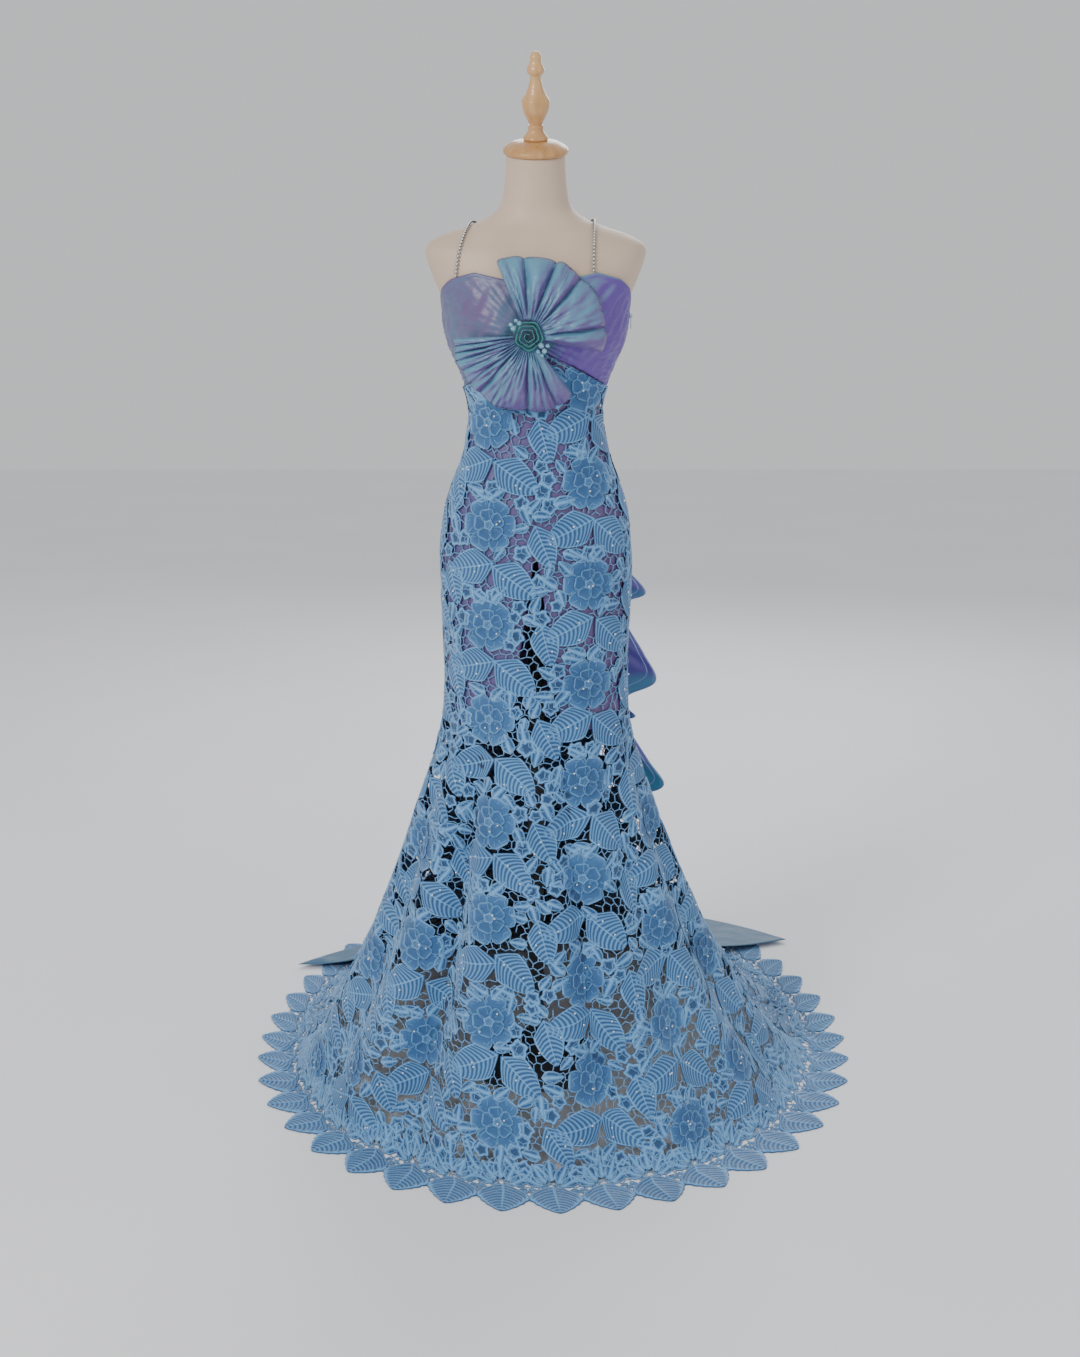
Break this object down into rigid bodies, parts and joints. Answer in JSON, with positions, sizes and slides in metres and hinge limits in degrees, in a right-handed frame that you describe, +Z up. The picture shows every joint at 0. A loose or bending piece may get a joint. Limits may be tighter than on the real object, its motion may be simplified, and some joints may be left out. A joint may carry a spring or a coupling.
{
  "type": "mermaid gown on dress form",
  "caption": "Strapless lace mermaid gown with a gathered bow flower, stone straps, ruffle cascade and train, worn by a limbless dress form on a stand.",
  "frame": {"origin": "middle of the underside of the stand's base, on the floor", "axes": "+Z up, the gown's front faces -Y, +X is to the right when it is seen from the front"},
  "size_m": [1.1126, 1.3979, 1.7529],
  "materials": {
    "lace": "matt guipure lace",
    "taffeta": "shot taffeta, blue to purple",
    "slip_taffeta": "shot taffeta, purple",
    "rose_satin": "satin",
    "stones": "clear stones in silver cups",
    "form_shell": "smooth jersey over a moulded shell",
    "wood": "turned and varnished",
    "steel": "satin",
    "zip_metal": "lacquered"
  },
  "bodies": {
    "gown": {"stand_base": "steel", "stand_pole": "steel", "form_torso": "form_shell", "neck_cap": "wood", "finial": "wood", "bodice_cup_right": "taffeta", "bodice_cup_left": "taffeta", "bodice_back": "taffeta", "slip_front_right": "slip_taffeta", "slip_front_left": "slip_taffeta", "slip_back": "slip_taffeta", "lace_front": "lace", "lace_side_front_right": "lace", "lace_side_back_right": "lace", "lace_back": "lace", "lace_side_back_left": "lace", "lace_side_front_left": "lace", "flower_wing_upper": "taffeta", "flower_wing_lower": "taffeta", "flower_rose": "rose_satin", "strap_right": "stones", "strap_left": "stones", "train": "taffeta", "cascade": "taffeta", "zip_slider": "zip_metal"},
    "pull_tab": {"zip_pull": "zip_metal"}
  },
  "joints": [
    {"name": "pull_tab_hinge", "type": "hinge", "parent": "gown", "child": "pull_tab", "pos_m": [0.15751, -0.00009, 1.34266], "axis": [0, -1, 0], "range_deg": [-3, 147]}
  ]
}
